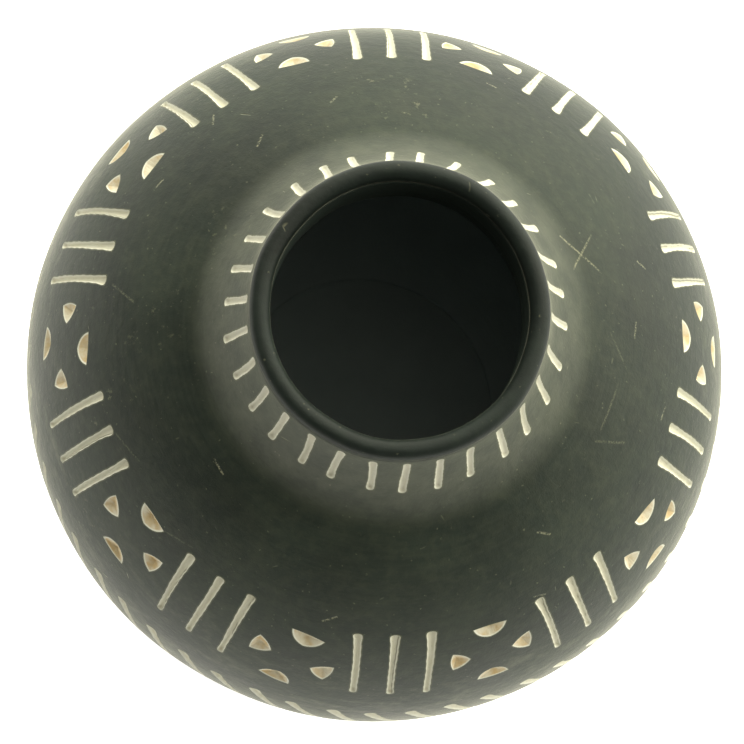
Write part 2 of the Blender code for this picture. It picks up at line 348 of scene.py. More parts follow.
def stroke_mark(azimuth, along, length, lean, half_width, depth, taper=0.0):
    """A round-ended gouge cut, as loops of (across, up) points from its halo down to its floor."""
    half_length = length / 2
    cap_reach = CAP_SHARE * half_width
    steps = max(4, int(2 * (half_length - cap_reach) / MARK_SPACING))
    run = np.linspace(cap_reach - half_length, half_length - cap_reach, steps)
    cap = np.linspace(0, math.pi, CAP_STEPS)[1:-1]
    cap_side, cap_end = squared(np.cos(cap)), squared(np.sin(cap)) * cap_reach
    side = np.concatenate([np.ones(steps), cap_side, -np.ones(steps), -cap_side])
    up = np.concatenate([run, run[-1] + cap_end, run[::-1], run[0] - cap_end])
    share = up / half_length
    phase = rng.uniform(0, math.tau, 4)
    wobble = 0.05 * np.sin(3.1 * share + phase[0]) + 0.04 * np.sin(9.0 * share + phase[1])
    ragged = 0.05 * np.sin(27.0 * share + phase[2]) * side
    bulb = 0.15 * np.abs(share) ** 5 + 1.6 * taper * np.clip(share, 0, 1) ** 4
    width = half_width * (0.92 + wobble + ragged + taper * share + bulb)
    bend = STROKE_BEND * np.sin(2.2 * share + phase[3])
    levels = [(HALO_WIDTH, 0.0), (0.0, 0.0)] + [(-step * half_width, fall) for step, fall in STROKE_LEVELS]
    loops = []
    for offset, fall in levels:
        points = np.stack([bend + side * (width + offset), up * (1 + offset / half_length)], axis=1)
        loops.append((points @ rotation(lean), np.full(len(points), -depth * fall)))
    return make_mark(azimuth, along, loops, side, np.zeros(len(side), bool), None)


def squared(values):
    """Pushes a circle's coordinates out a little towards a square's."""
    return np.sign(values) * np.abs(values) ** CAP_SQUARENESS


def rotation(degrees):
    """Turns row vectors clockwise, as seen from outside the wall."""
    angle = math.radians(degrees)
    return np.array([[math.cos(angle), -math.sin(angle)], [math.sin(angle), math.cos(angle)]])


def curved_side(start, end, bulge):
    """Points from start up to but not including end, bowed outwards by bulge, and their number."""
    steps = max(3, int(np.linalg.norm(end - start) / MARK_SPACING))
    t = np.arange(steps)[:, None] / steps
    along = end - start
    outward = np.array([along[1], -along[0]]) / np.linalg.norm(along)
    return start + along * t + outward * bulge * 4 * t * (1 - t), steps


def chip_mark(azimuth, along, corners, bulges, turn):
    """A chip cut: facets that fall from a curved outline to one deep point."""
    corners = np.array(corners) + rng.uniform(-CORNER_SHAKE, CORNER_SHAKE, (len(corners), 2))
    outline, valley = [], []
    for k, corner in enumerate(corners):
        side, steps = curved_side(corner, corners[(k + 1) % len(corners)], bulges[k])
        outline.append(side)
        valley.extend([True] + [False] * (steps - 1))
    outline = np.vstack(outline)
    deep = outline.mean(axis=0) + rng.uniform(-DEEP_SHAKE, DEEP_SHAKE, 2)
    outline = outline @ rotation(turn)
    deep = deep @ rotation(turn)
    ray = outline - deep
    reach = np.linalg.norm(ray, axis=1)[:, None]
    loops = [(outline + ray / reach * HALO_WIDTH, np.zeros(len(outline)))]
    for share in CHIP_LEVELS:
        loops.append((deep + ray * share, np.full(len(outline), -CHIP_DEPTH * (1 - share))))
    return make_mark(azimuth, along, loops, np.zeros(len(outline)), np.array(valley), deep)


def make_mark(azimuth, along, loops, across, valley, deep):
    """A mark's record. Chips and the ticks of the neck show cleaner, paler clay than the long strokes."""
    chip = 0.0 if deep is None else 1.0
    return {
        "azimuth": azimuth, "along": along, "loops": loops, "across": across, "valley": valley,
        "deep": deep, "deepest": CHIP_DEPTH, "chip": chip, "seed": rng.uniform(),
        "pale": max(chip, 1.0 if along > NECK_SEAM else 0.0),
    }


def shaken(reach):
    """One random departure of a hand-made mark, up to reach either way."""
    return rng.uniform(-reach, reach)


def tilted(latitude, azimuth):
    """The carved band runs a little higher on one side of the pot."""
    return latitude + BAND_TILT * math.cos(math.radians(azimuth - BAND_TILT_AZIMUTH))


def group_azimuth(count):
    """Where a group or a half-way motif sits: an even pitch, and the slow drift of spacing by hand."""
    even = 360 * count / BAND_GROUPS
    drift = BAND_DRIFT * math.cos(math.radians(even - BAND_DRIFT_AZIMUTH))
    ripple = BAND_RIPPLE * math.sin(math.radians(2 * even))
    return BAND_FIRST_AZIMUTH + even + drift + ripple


def stroke_between(top, foot, half_width, depth, taper=0.0):
    """A stroke from a top end to a foot end, each given as (azimuth, along)."""
    middle = (top[1] + foot[1]) / 2
    sideways = math.radians(foot[0] - top[0]) * float(OUTER.radius(middle))
    rise = top[1] - foot[1]
    lean = -math.degrees(math.atan2(sideways, rise))
    azimuth = (top[0] + foot[0]) / 2
    return stroke_mark(azimuth, middle, math.hypot(sideways, rise), lean, half_width, depth, taper)


def band_marks():
    """Groups of three upright strokes round the shoulder."""
    marks = []
    for group in range(BAND_GROUPS):
        azimuth = group_azimuth(group)
        for side in (-1, 0, 1):
            top = along_at_latitude(tilted(BAND_TOP_LATITUDE, azimuth) + shaken(BAND_TOP_SHAKE))
            foot = along_at_latitude(BAND_FOOT_LATITUDE + shaken(BAND_FOOT_SHAKE))
            ends = (azimuth + side * BAND_TOP_STEP, top), (azimuth + side * BAND_FOOT_STEP, foot)
            marks.append(stroke_between(*ends, STROKE_HALF_WIDTH, STROKE_DEPTH, STROKE_TAPER))
    return marks


def motif_marks():
    """Four chips round a dark cross, between each two groups of strokes."""
    marks = []
    for k in range(BAND_GROUPS):
        azimuth = group_azimuth(k + 0.5)
        along = along_at_latitude(tilted(MOTIF_LATITUDE + MOTIF_LIFTS[k % 2], azimuth))
        turn = MOTIF_TURNS[k % 2] + shaken(MOTIF_TURN_SHAKE)
        for half in (0, 180):
            marks.append(chip_mark(azimuth, along, UPPER_CHIP, UPPER_BULGES, turn + half))
            marks.append(chip_mark(azimuth, along, SIDE_CHIP, SIDE_BULGES, turn + half))
    return marks


def belt_marks():
    """The row of leaning strokes round the belly."""
    marks = []
    for k in range(BELT_STROKES):
        azimuth = BELT_PHASE + 360 * k / BELT_STROKES + shaken(BELT_PHASE_SHAKE)
        top = along_at_latitude(BELT_TOP_LATITUDE + shaken(BELT_TOP_SHAKE))
        foot = along_at_latitude(BELT_FOOT_LATITUDE + shaken(BELT_FOOT_SHAKE))
        ends = (azimuth, top), (azimuth + BELT_LEAN, foot)
        marks.append(stroke_between(*ends, BELT_HALF_WIDTH, STROKE_DEPTH, STROKE_TAPER))
    return marks


def tick_marks():
    """Short strokes up the flank of the neck."""
    marks = []
    for k in range(NECK_TICKS):
        azimuth = TICK_PHASE + 360 * k / NECK_TICKS
        azimuth = azimuth + TICK_DRIFT * math.cos(math.radians(azimuth - TICK_DRIFT_AZIMUTH))
        foot = OUTER.at_height(EQUATOR_HEIGHT + TICK_FOOT_HEIGHT) + shaken(TICK_FOOT_SHAKE)
        lean = TICK_LEAN + TICK_LEAN_SWING * math.cos(math.radians(azimuth - TICK_DRIFT_AZIMUTH))
        ends = (azimuth, LIP_SEAM - TICK_TOP_GAP), (azimuth + lean + shaken(TICK_LEAN_SHAKE), foot)
        marks.append(stroke_between(*ends, TICK_HALF_WIDTH, TICK_DEPTH))
    return marks


# Carved skin


def grid_points(start, end, spacing):
    """Staggered rows of (azimuth, along) points; the first and last rows are regular joint rings."""
    rows = round((end - start) / spacing)
    rings = []
    for k in range(rows + 1):
        along = start + (end - start) * k / rows
        edge = k in (0, rows)
        count = RING_COUNT if edge else round(math.tau * float(OUTER.radius(along)) / spacing)
        azimuth = 360 * (np.arange(count) + (0.0 if edge else 0.5 * (k % 2))) / count
        ring = np.stack([azimuth, np.full(count, along)], axis=1)
        if not edge:
            shake = rng.uniform(-GRID_SHAKE, GRID_SHAKE, (count, 2)) * spacing
            ring[:, 0] += np.degrees(shake[:, 0] / float(OUTER.radius(along)))
            ring[:, 1] += shake[:, 1]
        rings.append(ring)
    return rings


def mark_points(mark, local):
    """(azimuth, along) of a mark's local (across, up) points."""
    along = mark["along"] + local[:, 1]
    azimuth = mark["azimuth"] + np.degrees(local[:, 0] / OUTER.radius(along))
    return np.stack([azimuth, along], axis=1)


def inside(points, loop):
    """Which points lie within a closed loop, both in the same flat coordinates."""
    x, y = points[:, 0][:, None], points[:, 1][:, None]
    ax, ay = loop[:, 0][None], loop[:, 1][None]
    bx, by = np.roll(loop[:, 0], -1)[None], np.roll(loop[:, 1], -1)[None]
    straddles = (ay > y) != (by > y)
    with np.errstate(divide="ignore", invalid="ignore"):
        crossing = ax + (y - ay) * (bx - ax) / (by - ay) > x
    return (straddles & crossing).sum(axis=1) % 2 == 1


def clear_of_marks(points, marks, clearance):
    """Which (azimuth, along) points stand clear of every mark."""
    clear = np.ones(len(points), bool)
    for mark in marks:
        outer = mark["loops"][0][0]
        reach = np.abs(outer).max() * 1.5 + clearance
        up = points[:, 1] - mark["along"]
        turn = (points[:, 0] - mark["azimuth"] + 180) % 360 - 180
        across = np.radians(turn) * OUTER.radius(points[:, 1])
        near = np.flatnonzero((np.abs(up) < reach) & (np.abs(across) < reach) & clear)
        local = np.stack([across[near], up[near]], axis=1)
        gap = np.linalg.norm(local[:, None] - outer[None], axis=2).min(axis=1)
        clear[near[(gap < clearance) | inside(local, outer)]] = False
    return clear


class Skin:
    """A carved stretch of the outer wall: triangles whose marks are cut to their true outlines."""

    def __init__(self, start, end, spacing, marks):
        self.places, self.lifts, self.rows = [], [], {name: [] for name in SKIN_FACTS}
        self.edges, self.outlines, self.sharp = [], [], []
        rings = grid_points(start, end, spacing)
        self.bottom = self.add(rings[0])
        self.top = self.add(rings[-1])
        self.edges.extend(ring_edges(self.bottom) + ring_edges(self.top))
        field = np.vstack(rings[1:-1])
        self.add(field[clear_of_marks(field, marks, spacing * MARK_CLEARANCE)])
        for mark in marks:
            self.add_mark(mark)
        self.triangulate()

    def count(self):
        """How many points there are so far."""
        return sum(len(block) for block in self.places)

    def add(self, places, lift=0.0, **facts):
        """Adds (azimuth, along) points with their lift and facts, and gives their numbers."""
        first, size = self.count(), len(places)
        self.places.append(places)
        self.lifts.append(np.broadcast_to(lift, size))
        for name in SKIN_FACTS:
            self.rows[name].append(np.broadcast_to(facts.get(name, 0.0), size).astype(float))
        return np.arange(first, first + size)

    def add_mark(self, mark):
        """Adds a mark's loops from its halo inwards, and the deep point of a chip."""
        previous = None
        last_level = len(mark["loops"]) - 1
        for level, (local, lift) in enumerate(mark["loops"]):
            facts = {
                "halo": min(level, 1.0), "depth": max(level - 1, 0) / (last_level - 1),
                "across": mark["across"] * (1 - max(level - 1, 0) / last_level),
                "sideways": local[:, 0], "run": local[:, 1], "seed": mark["seed"], "chip": mark["chip"],
                "pale": mark["pale"],
            }
            ids = self.add(mark_points(mark, local), lift, **facts)
            if level == 1:
                self.outlines.append(ids.tolist())
                self.sharp.extend(ring_edges(ids))
            else:
                self.edges.extend(ring_edges(ids))
            if level > 1:
                self.join(previous, ids, mark["valley"])
            previous = ids
        if mark["deep"] is not None:
            facts = {
                "halo": 1.0, "depth": 1.0, "sideways": mark["deep"][0], "run": mark["deep"][1],
                "seed": mark["seed"], "chip": mark["chip"], "pale": mark["pale"],
            }
            ids = self.add(mark_points(mark, mark["deep"][None]), -mark["deepest"], **facts)
            self.join(previous, np.repeat(ids, len(previous)), mark["valley"])

    def join(self, outer, inner, valley):
        """Valley lines between the facets of a chip."""
        pairs = [(a, b) for a, b, kept in zip(outer, inner, valley) if kept]
        self.edges.extend(pairs)
        self.sharp.extend(pairs)

    def triangulate(self):
        """Delaunay over one turn and a margin, so that the two ends of the turn meet exactly."""
        place = np.vstack(self.places)
        place[:, 0] %= 360
        total = len(place)
        mercator = OUTER.mercator(place[:, 1])
        copies, shifts = [np.arange(total)], [np.zeros(total)]
        for shift in (-360.0, 360.0):
            turned = place[:, 0] + shift
            kept = np.flatnonzero((turned > -TURN_MARGIN) & (turned < 360 + TURN_MARGIN))
            copies.append(kept)
            shifts.append(np.full(kept.size, shift))
        origin, shift = np.concatenate(copies), np.concatenate(shifts)
        turned = place[origin, 0] + shift
        flat = np.stack([np.radians(turned), mercator[origin]], axis=1)
        spot = {(int(o), int(s)): i for i, (o, s) in enumerate(zip(origin, shift))}
        edges = self.copied_pairs(self.edges, place, spot)
        outlines = self.copied_loops(place, spot)
        verts = [Vector(point) for point in flat.tolist()]
        out = delaunay_2d_cdt(verts, edges, outlines, 0, 1e-7, True)
        corners, faces, originals = out[0], np.array(out[2]), out[3]
        assert len(corners) == len(verts), "two marks run into each other"
        source = np.array([ids[0] for ids in originals])
        flat_out = np.array([tuple(c) for c in corners])
        centre = flat_out[faces, 0].mean(axis=1)
        on_rim = np.isin(origin[source[faces]], np.concatenate([self.bottom, self.top])).all(axis=1)
        kept = (centre >= 0) & (centre < math.tau) & ~on_rim
        self.triangles = origin[source[faces[kept]]]
        clay = np.array([len(ids) > 0 for ids in out[5]])
        self.clay = clay[kept]
        self.points = skin_points(place[:, 0], place[:, 1], np.concatenate(self.lifts))
        self.facts = {name: np.concatenate(rows) for name, rows in self.rows.items()}

    def copied_pairs(self, pairs, place, spot):
        """Every copy of an edge, with its two ends on the same turn."""
        found = []
        for a, b in pairs:
            hop = 360 * round((place[a, 0] - place[b, 0]) / 360)
            for shift in (-360, 0, 360):
                start, end = spot.get((int(a), shift)), spot.get((int(b), shift + hop))
                if start is not None and end is not None:
                    found.append((start, end))
        return found

    def copied_loops(self, place, spot):
        """Every copy of a mark's outline, with all its points on the same turn."""
        found = []
        for loop in self.outlines:
            hops = [360 * round((place[loop[0], 0] - place[i, 0]) / 360) for i in loop]
            for shift in (-360, 0, 360):
                ids = [spot.get((i, shift + hop)) for i, hop in zip(loop, hops)]
                if None not in ids:
                    found.append(ids)
        return found


# Pieces


def line_points(points, spacing=SECTION_SPACING):
    """The same broken line with points no further apart than spacing."""
    rows = [points[:1]]
    for start, end in zip(points, points[1:]):
        steps = max(1, math.ceil(np.linalg.norm(end - start) / spacing))
        rows.append(start + (end - start) * np.arange(1, steps + 1)[:, None] / steps)
    return np.vstack(rows)


def ring_block(section):
    """World points of full rings, one ring per (radius, height) row."""
    azimuth = 360 * np.arange(RING_COUNT) / RING_COUNT
    rings = []
    for radius, height in section:
        rings.append(turned_points(azimuth, radius, np.full(RING_COUNT, height), radius > 0))
    return np.vstack(rings)


def ring_quads(rings):
    """Faces between each ring of vertex numbers and the next."""
    faces = []
    for ring, following in zip(rings, rings[1:]):
        faces.extend(zip(ring, np.roll(ring, -1), np.roll(following, -1), following))
    return [tuple(int(i) for i in face) for face in faces]


def make_piece(name, points, faces, sharp, materials, paints, facts=None):
    """A closed, smooth-shaded mesh object that stands for the CAD node of the same name."""
    mesh = bpy.data.meshes.new(name)
    mesh.from_pydata(points.tolist(), [], faces)
    for material in materials:
        mesh.materials.append(material)
    mesh.polygons.foreach_set("material_index", np.asarray(paints, np.int32))
    for fact, values in (facts or {}).items():
        column = np.zeros(len(points), np.float32)
        column[: values.size] = values
        mesh.attributes.new(fact, "FLOAT", "POINT").data.foreach_set("value", column)
    mesh.shade_smooth()
    mark_sharp(mesh, sharp)
    merge_poles(mesh)
    piece = bpy.data.objects.new(name + "_clay", mesh)
    bpy.context.scene.collection.objects.link(piece)
    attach(piece, "root")
    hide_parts(name)
    return piece


def mark_sharp(mesh, sharp):
    """Keeps the given edges crisp under smooth shading."""
    keys = np.array([sorted((int(a), int(b))) for a, b in sharp])
    wanted = set((keys[:, 0] * len(mesh.vertices) + keys[:, 1]).tolist())
    ends = np.zeros(len(mesh.edges) * 2, np.int64)
    mesh.edges.foreach_get("vertices", ends)
    ends = np.sort(ends.reshape(-1, 2), axis=1)
    flags = np.isin(ends[:, 0] * len(mesh.vertices) + ends[:, 1], list(wanted))
    mesh.attributes.new("sharp_edge", "BOOLEAN", "EDGE").data.foreach_set("value", flags)


def merge_poles(mesh):
    """Joins the vertices of a ring that has shrunk to the axis, and turns all faces outwards."""
    bm = bmesh.new()
    bm.from_mesh(mesh)
    poles = [v for v in bm.verts if math.hypot(v.co.x, v.co.y) < 1e-6]
    bmesh.ops.remove_doubles(bm, verts=poles, dist=1e-6)
    bmesh.ops.recalc_face_normals(bm, faces=bm.faces)
    bm.to_mesh(mesh)
    bm.free()


def ring_edges(ring):
    """The edges round a closed ring of vertex numbers."""
    return list(zip(ring, np.roll(ring, -1)))


def carved_piece(name, materials, skin, section):
    """A carved outer skin closed by plain rings; section runs from its top ring back to its bottom ring."""
    block = ring_block(section)
    first = len(skin.points)
    rings = [skin.top]
    rings.extend(first + RING_COUNT * k + np.arange(RING_COUNT) for k in range(len(section)))
    rings.append(skin.bottom)
    faces = [tuple(face) for face in skin.triangles.tolist()] + ring_quads(rings)
    sharp = skin.sharp + ring_edges(skin.top) + ring_edges(skin.bottom)
    for k in sharp_rows(section):
        sharp.extend(ring_edges(rings[k + 1]))
    points = np.vstack([skin.points, block])
    paints = np.full(len(faces), INSIDE)
    paints[: skin.clay.size] = np.where(skin.clay, CUT, OUTSIDE)
    return make_piece(name, points, faces, sharp, materials, paints, skin.facts)


def turned_piece(name, materials, section, inside_from=None):
    """A plain turned piece from a closed outline of (radius, height) rows, or one that starts and ends
    on the axis. Rows from inside_from on show the last material."""
    section = np.array(section)
    on_axis = section[0, 0] == 0
    points = ring_block(section)
    rings = [RING_COUNT * k + np.arange(RING_COUNT) for k in range(len(section))]
    faces = ring_quads(rings if on_axis else rings + rings[:1])
    sharp = []
    for k in sharp_rows(section, closed=not on_axis):
        sharp.extend(ring_edges(rings[k]))
    paints = np.full(len(faces), OUTSIDE)
    if inside_from is not None:
        paints[inside_from * RING_COUNT:] = len(materials) - 1
    return make_piece(name, points, faces, sharp, materials, paints)


def sharp_rows(section, closed=False):
    """Rows of an outline where it turns by more than CREASE_ANGLE."""
    section = np.array(section)
    rows = range(len(section)) if closed else range(1, len(section) - 1)
    found = []
    for k in rows:
        before = section[k] - section[k - 1]
        after = section[(k + 1) % len(section)] - section[k]
        turn = abs(math.atan2(before[0] * after[1] - before[1] * after[0], before @ after))
        if turn > CREASE_ANGLE:
            found.append(k)
    return found


def shoulder_piece(slip, clay, inner_slip):
    """The upper bowl, with the band and the belt cut into it."""
    skin = Skin(BOWL_SEAM, NECK_SEAM, SKIN_SPACING, band_marks() + motif_marks() + belt_marks())
    inner_top = latitude_at(NECK_SEAM_INNER_RADIUS, WALL)
    inner_bottom = latitude_at_height(float(OUTER.height(BOWL_SEAM)) + BOWL_SEAM_RISE, WALL)
    section = body_points(np.linspace(inner_top, inner_bottom, INNER_WALL_STEPS), WALL)
    return carved_piece("shoulder_wall", [slip, clay, inner_slip], skin, section)


def collar_piece(slip, clay, inner_slip):
    """The neck, with its ticks outside and the throat inside."""
    skin = Skin(NECK_SEAM, LIP_SEAM, NECK_SPACING, tick_marks())
    seam = LIP_SEAM_HEIGHT
    inner_base = body_points(np.array([latitude_at(NECK_SEAM_INNER_RADIUS, WALL)]), WALL)[0]
    bottom = np.array([MOUTH_RADIUS, seam - THROAT_DEPTH])
    flare = inner_base + (-THROAT_FLARE, THROAT_FLARE / 2)
    throat = bezier(bottom, bottom - (0, THROAT_FLARE), flare, inner_base, THROAT_STEPS)
    section = np.vstack([line_points(np.array([[MOUTH_RADIUS, seam], bottom])), throat[1:]])
    return carved_piece("neck_collar", [slip, clay, inner_slip], skin, section)


def bowl_piece(slip, inner_slip):
    """The plain lower bowl."""
    low = -latitude_at(FLOOR_OPENING)
    outer = body_points(np.linspace(low, BOWL_SEAM_LATITUDE, BOWL_STEPS))
    outer[-1] = OUTER.radius(BOWL_SEAM), OUTER.height(BOWL_SEAM)
    inner_top = latitude_at_height(float(OUTER.height(BOWL_SEAM)) + BOWL_SEAM_RISE, WALL)
    inner_low = -latitude_at(FLOOR_OPENING + FLOOR_FLARE, WALL)
    inner = body_points(np.linspace(inner_top, inner_low, INNER_WALL_STEPS), WALL)
    section = np.vstack([outer, inner])
    return turned_piece("lower_bowl", [slip, inner_slip], section, len(outer) - 1)


def rim_piece(slip):
    """The rolled lip."""
    middle, half = (LIP_OUTER + MOUTH_RADIUS) / 2, (LIP_OUTER - MOUTH_RADIUS) / 2
    angle = np.linspace(0, math.pi, LIP_STEPS)
    spring = LIP_SEAM_HEIGHT + LIP_BAND
    crown = spring + (LIP_TOP_HEIGHT - spring) * np.sin(angle)
    roll = np.stack([middle + half * np.cos(angle), crown], axis=1)
    seat = np.array([[MOUTH_RADIUS, LIP_SEAM_HEIGHT], [float(OUTER.radius(LIP_SEAM)), LIP_SEAM_HEIGHT]])
    return turned_piece("rim_coil", [slip], np.vstack([roll, seat]))


def floor_piece(clay):
    """The slab that closes the bowl."""
    low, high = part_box("floor_disc")
    inner = body_points(np.array([-latitude_at(FLOOR_OPENING + FLOOR_FLARE, WALL)]), WALL)[0]
    outer = body_points(np.array([-latitude_at(FLOOR_OPENING)]))[0]
    share = (high.z - outer[1]) / (inner[1] - outer[1])
    top = (outer[0] + (inner[0] - outer[0]) * share, high.z)
    section = np.array([(0.0, low.z), (FLOOR_OPENING, low.z), (FLOOR_OPENING, outer[1]), top, (0.0, high.z)])
    return turned_piece("floor_disc", [clay], line_points(section, FLOOR_SPACING))


def foot_piece(clay):
    """The foot ring, rounded where it stands."""
    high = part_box("foot_ring")[1]
    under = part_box("floor_disc")[0].z
    section = [(FOOT_INNER, under)]
    for angle in np.linspace(0, math.pi / 2, FOOT_STEPS):
        radius = FOOT_INNER + FOOT_ROUNDING * (1 - math.cos(angle))
        section.append((radius, FOOT_ROUNDING * (1 - math.sin(angle))))
    for angle in np.linspace(0, math.pi / 2, FOOT_STEPS):
        radius = high.x - 2 * FOOT_ROUNDING + 2 * FOOT_ROUNDING * math.sin(angle)
        section.append((radius, 2 * FOOT_ROUNDING * (1 - math.cos(angle))))
    section.extend([(high.x, high.z), (FLOOR_OPENING, under)])
    return turned_piece("foot_ring", [clay], section)


# Materials


class Nodes:
    """Builds a shader node tree with short calls."""

    def __init__(self, tree):
        self.tree = tree
        tree.nodes.clear()

    def node(self, kind, out=0, settings=None, **inputs):
        """Adds a node and gives one of its outputs; an input is named, or numbered as in _0."""
        node = self.tree.nodes.new("ShaderNode" + kind)
        for name, value in (settings or {}).items():
            setattr(node, name, value)
        for name, value in inputs.items():
            self.plug(node, name, value)
        return node.outputs[out] if node.outputs else None

    def plug(self, node, name, value):
        """Links a socket, or sets its value."""
        key = int(name[1:]) if name[0] == "_" else name.replace("_", " ")
        socket = node.inputs[key]
        if isinstance(value, bpy.types.NodeSocket):
            self.tree.links.new(value, socket)
        else:
            socket.default_value = value

    def math(self, operation, *values):
        inputs = {f"_{k}": value for k, value in enumerate(values)}
        return self.node("Math", 0, {"operation": operation}, **inputs)

    def times(self, first, second):
        return self.math("MULTIPLY", first, second)

    def plus(self, first, second):
        return self.math("ADD", first, second)

    def ramp(self, value, low, high, start=0.0, end=1.0, kind="LINEAR"):
        """Maps low..high onto start..end, clamped."""
        return self.node("MapRange", 0, {"clamp": True, "interpolation_type": kind}, Value=value,
                         From_Min=low, From_Max=high, To_Min=start, To_Max=end)


class Paint(Nodes):
    """One material's node tree."""

    def __init__(self, name):
        self.material = bpy.data.materials.new(name)
        self.material.use_nodes = True
        super().__init__(self.material.node_tree)

    def fact(self, name):
        """A number stored on the mesh's points."""
        return self.node("Attribute", 2, {"attribute_name": name})

    def noise(self, vector, scale, detail=3.0, roughness=0.55):
        return self.node("TexNoise", 0, Vector=vector, Scale=scale, Detail=detail, Roughness=roughness)

    def vector(self, x, y, z):
        return self.node("CombineXYZ", X=x, Y=y, Z=z)

    def mix(self, share, first, second):
        """A colour mix."""
        node = self.tree.nodes.new("ShaderNodeMix")
        node.data_type = "RGBA"
        self.plug(node, "_0", share)
        for index, value in ((6, first), (7, second)):
            self.plug(node, f"_{index}", value)
        return node.outputs[2]

    def bump(self, height, distance, strength=1.0, normal=None):
        inputs = {"Height": height, "Distance": distance, "Strength": strength}
        if normal is not None:
            inputs["Normal"] = normal
        return self.node("Bump", 0, **inputs)

    def place(self):
        """Position in the piece's own coordinates."""
        return self.node("TexCoord", 3)

    def axes(self, place):
        """A place's x, y and z, and its distance from the pot's axis."""
        x, y, z = (self.node("SeparateXYZ", k, Vector=place) for k in range(3))
        return x, y, z, self.math("POWER", self.plus(self.times(x, x), self.times(y, y)), 0.5)

    def wheel_place(self, coarse, fine):
        """Coordinates that run slowly round the pot and quickly up its wall, for turning marks."""
        x, y, z, radius = self.axes(self.place())
        level = self.plus(self.times(radius, -0.8), z)
        x = self.times(self.math("DIVIDE", x, radius), coarse)
        y = self.times(self.math("DIVIDE", y, radius), coarse)
        return self.vector(x, y, self.times(level, fine))

    def finish(self, **inputs):
        """Closes the tree with the surface shader."""
        shader = self.node("BsdfPrincipled", 0, **inputs)
        end = self.tree.nodes.new("ShaderNodeOutputMaterial")
        self.tree.links.new(shader, end.inputs["Surface"])
        return self.material


def slip_paint(name, dark, light, dusty, gloss, shine, carved=True):
    """Thin dark slip over pale clay: mottled, dusted, pitted and scratched."""
    paint = Paint(name)
    place = paint.place()
    brushed = paint.noise(paint.wheel_place(0.9, 700.0), 1.6, 4.0, 0.6)
    cloud = paint.noise(place, CLOUD_SCALE, 4.0, 0.55)
    mottle = paint.noise(place, MOTTLE_SCALE, 4.0, 0.6)
    grain = paint.noise(place, GRAIN_SCALE, 2.0, 0.6)
    tone = paint.plus(paint.times(cloud, 0.7), paint.times(brushed, 0.3))
    base = paint.mix(paint.ramp(tone, 0.38, 0.66), dark, light)
    dust = paint.times(paint.ramp(mottle, 0.45, 0.78), paint.ramp(cloud, 0.35, 0.65, 0.15, 0.40))
    base = paint.mix(dust, base, dusty)
    if carved:
        base = handled_dust(paint, place, base, mottle)
    speck_field = paint.node("TexVoronoi", 0, Vector=place, Scale=SPECK_SCALE)
    speck = paint.times(paint.ramp(speck_field, 0.10, 0.16, 1.0, 0.0), paint.ramp(grain, 0.52, 0.60))
    base = paint.mix(paint.times(speck, SPECK_SHARE), base, PALE_SPECK)
    scratch = scratches(paint, place)
    base = paint.mix(paint.times(scratch, SCRATCH_SHARE), base, PALE_SPECK)
    if carved:
        faint = knocks(paint, place, grain, scattered_lines(GRAZES, GRAZE_REACH))
        base = paint.mix(paint.times(faint, GRAZE_SHARE), base, PALE_SPECK)
        star = knocks(paint, place, grain, star_lines() + scattered_lines(NICKS, NICK_REACH))
        base = paint.mix(paint.times(star, NICK_SHARE), base, PALE_SPECK)
        scratch = paint.math("MAXIMUM", scratch, star)
        halo = paint.ramp(paint.fact("halo"), 0.2, 1.0)
        base = paint.mix(paint.times(halo, HALO_SHARE), base, CUT_HALO)
    roughness = paint.ramp(tone, 0.3, 0.7, gloss - 0.04, gloss + 0.08)
    relief = paint.bump(brushed, 0.00006, 0.35)
    relief = paint.bump(mottle, 0.00020, 0.6, relief)
    relief = paint.bump(grain, 0.00006, 0.5, relief)
    relief = paint.bump(paint.times(scratch, -1.0), 0.00008, 0.8, relief)
    return paint.finish(Base_Color=base, Roughness=roughness, Normal=relief, Specular_IOR_Level=shine,
                        Sheen_Weight=DUST_SHEEN, Sheen_Roughness=SHEEN_ROUGHNESS, Sheen_Tint=LIGHT_TINT)


def handled_dust(paint, place, base, mottle):
    """Paler slip painted in a broken ring round the flank of the neck and, in smears, pale clay dust rubbed
    into the slip below the carved band.
    """
    x, y, z, radius = paint.axes(place)
    # The slip is painted paler in a broken ring round the flank of the neck, above a height and between two
    # radii.
    upper = paint.ramp(z, NECK_PALE_HEIGHT - 0.004, NECK_PALE_HEIGHT)
    neck = paint.times(paint.ramp(radius, NECK_PALE_OUTER, NECK_PALE_INNER), upper)
    broken = paint.ramp(paint.noise(place, DUST_SCALE, 4.0, 0.65), 0.35, 0.65, 0.45, 1.0)
    base = paint.mix(paint.times(paint.times(neck, broken), 0.7), base, NECK_PALE_TONE)
    scuffed = paint.times(paint.ramp(paint.noise(place, SCUFF_SCALE, 5.0, 0.7), 0.60, 0.68),
                         paint.ramp(paint.noise(place, 34.0, 2.0), 0.60, 0.68))
    base = paint.mix(paint.times(scuffed, 0.5), base, CUT_HALO)
    blotch = paint.ramp(paint.noise(place, BLOTCH_SCALE, 5.0, 0.7), 0.40, 0.75, 0.0, 0.20)
    base = paint.mix(blotch, base, SLIP_DUST_AND_CUT_SHADOW)
    smear = paint.node("VectorMath", 0, {"operation": "MULTIPLY"}, _0=place, _1=(1.0, 1.0, 2.6))
    patch = paint.ramp(paint.noise(smear, SMEAR_SCALE, 5.0, 0.68), 0.50, 0.68)
    low = paint.ramp(z, SMEAR_TOP, SMEAR_FULL)
    share = paint.times(paint.times(patch, low), paint.ramp(mottle, 0.3, 0.6, 0.15, 0.6))
    return paint.mix(share, base, BELLY_DUST)


def knocks(paint, place, grain, lines):
    """The mask of a set of lines of knocked-off slip, broken up by the grain."""
    total = None
    for start, end in lines:
        line = stroke_mask(paint, place, start, end, KNOCK_WIDTH)
        total = line if total is None else paint.math("MAXIMUM", total, line)
    return paint.times(total, paint.ramp(grain, 0.42, 0.56))


